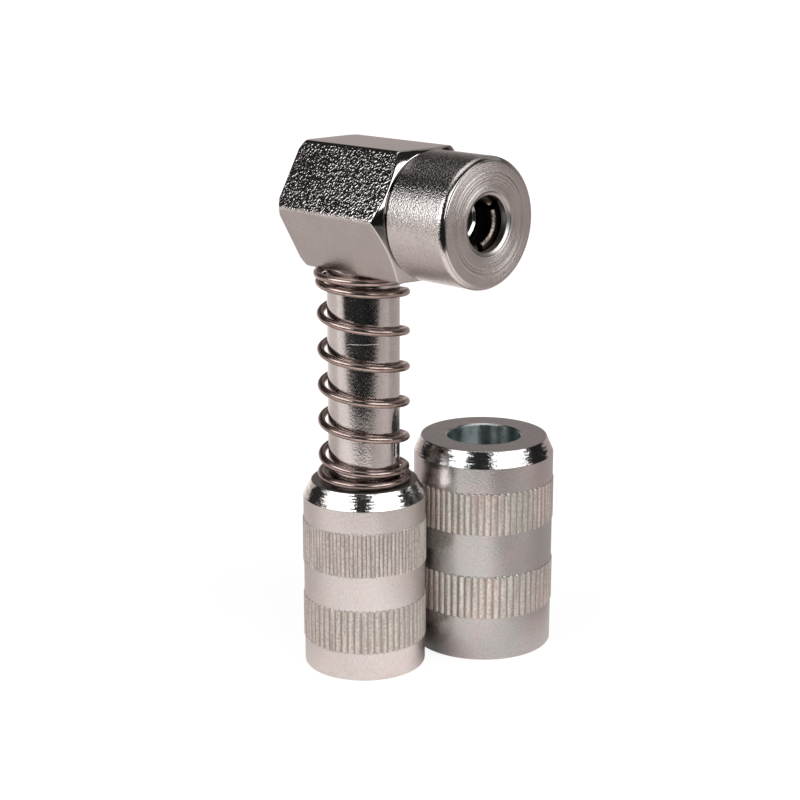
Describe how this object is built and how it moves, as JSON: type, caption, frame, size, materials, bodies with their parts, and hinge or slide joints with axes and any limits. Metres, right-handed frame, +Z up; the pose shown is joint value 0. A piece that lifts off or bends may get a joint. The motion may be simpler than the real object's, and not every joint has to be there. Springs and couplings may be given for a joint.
{
  "type": "grease coupler adapter",
  "caption": "Right-angle grease coupler adapter: hexagon head with a jawed nose, sprung knurled locking sleeve on the stem, and a wider spare sleeve.",
  "frame": {"origin": "centre of the locking sleeve's lower rim, on the stem axis, where the part stands", "axes": "+Z up the stem, +X out of the nose's mouth, square to the stem"},
  "size_m": [0.0354, 0.0426, 0.0824],
  "materials": {
    "head_zinc": "satin zinc plate, fine grained",
    "stem_zinc": "bright zinc plated ground bar",
    "sleeve_nickel": "turned and knurled, plated",
    "spare_nickel": "turned and knurled, plated",
    "spring_steel": "oil tempered wire",
    "turned_steel": "turned",
    "jaw_steel": "hardened, dark",
    "ball_steel": "polished",
    "copper": "annealed",
    "black_rubber": "moulded, glossy with grease"
  },
  "bodies": {
    "adapter": {"head_body": "head_zinc", "stem": "stem_zinc", "nose_cap": "head_zinc", "sealing_washer": "copper", "seal_holder": "turned_steel", "grease_seal": "black_rubber", "coupler_nipple": "turned_steel", "stop_ring": "spring_steel"},
    "sleeve_lift": {"sleeve_spring": "spring_steel"},
    "locking_sleeve": {"locking_sleeve": "sleeve_nickel"},
    "spare_sleeve": {"spare_sleeve": "spare_nickel"},
    "jaw_washer": {"jaw_washer": "turned_steel", "jaw_spring": "spring_steel"},
    "jaw_1": {"jaw_1": "jaw_steel"},
    "jaw_2": {"jaw_2": "jaw_steel"},
    "jaw_3": {"jaw_3": "jaw_steel"},
    "check_ball": {"check_ball": "ball_steel", "check_spring": "spring_steel"},
    "nipple_ball": {"nipple_ball": "ball_steel", "nipple_spring": "spring_steel"}
  },
  "joints": [
    {"name": "sleeve_slide", "type": "slide", "parent": "adapter", "child": "sleeve_lift", "axis": [0, 0, 1], "range_m": [0, 0.022], "stiffness_N_per_m": 1400, "springref_m": -0.008, "deforming": ["sleeve_spring"]},
    {"name": "sleeve_turn", "type": "hinge", "parent": "sleeve_lift", "child": "locking_sleeve", "pos_m": [0, 0, 0.0155], "axis": [0, 0, 1], "continuous": true},
    {"name": "spare_sleeve_slide", "type": "slide", "parent": "adapter", "child": "spare_sleeve", "axis": [0.3057, 0.9521, 0], "range_m": [0, 0.035]},
    {"name": "jaw_push", "type": "slide", "parent": "adapter", "child": "jaw_washer", "axis": [-1, 0, 0], "range_m": [0, 0.0016], "stiffness_N_per_m": 1900, "springref_m": -0.002, "deforming": ["jaw_spring"]},
    {"name": "jaw_1_slide", "type": "slide", "parent": "adapter", "child": "jaw_1", "axis": [-0.9537, 0.2725, -0.1271], "range_m": [0, 0.0017]},
    {"name": "jaw_2_slide", "type": "slide", "parent": "adapter", "child": "jaw_2", "axis": [-0.9537, -0.0262, 0.2996], "range_m": [0, 0.0017]},
    {"name": "jaw_3_slide", "type": "slide", "parent": "adapter", "child": "jaw_3", "axis": [-0.9537, -0.2463, -0.1725], "range_m": [0, 0.0017]},
    {"name": "check_ball_lift", "type": "slide", "parent": "adapter", "child": "check_ball", "axis": [1, 0, 0], "range_m": [0, 0.001], "stiffness_N_per_m": 900, "springref_m": -0.0005, "deforming": ["check_spring"]},
    {"name": "nipple_ball_lift", "type": "slide", "parent": "adapter", "child": "nipple_ball", "axis": [0, 0, 1], "range_m": [0, 0.001], "stiffness_N_per_m": 550, "springref_m": -0.0005, "deforming": ["nipple_spring"]}
  ],
  "couplings": [
    {"joint": "jaw_1_slide", "follows": "jaw_push", "ratio": 1.0485},
    {"joint": "jaw_2_slide", "follows": "jaw_push", "ratio": 1.0485},
    {"joint": "jaw_3_slide", "follows": "jaw_push", "ratio": 1.0485}
  ]
}
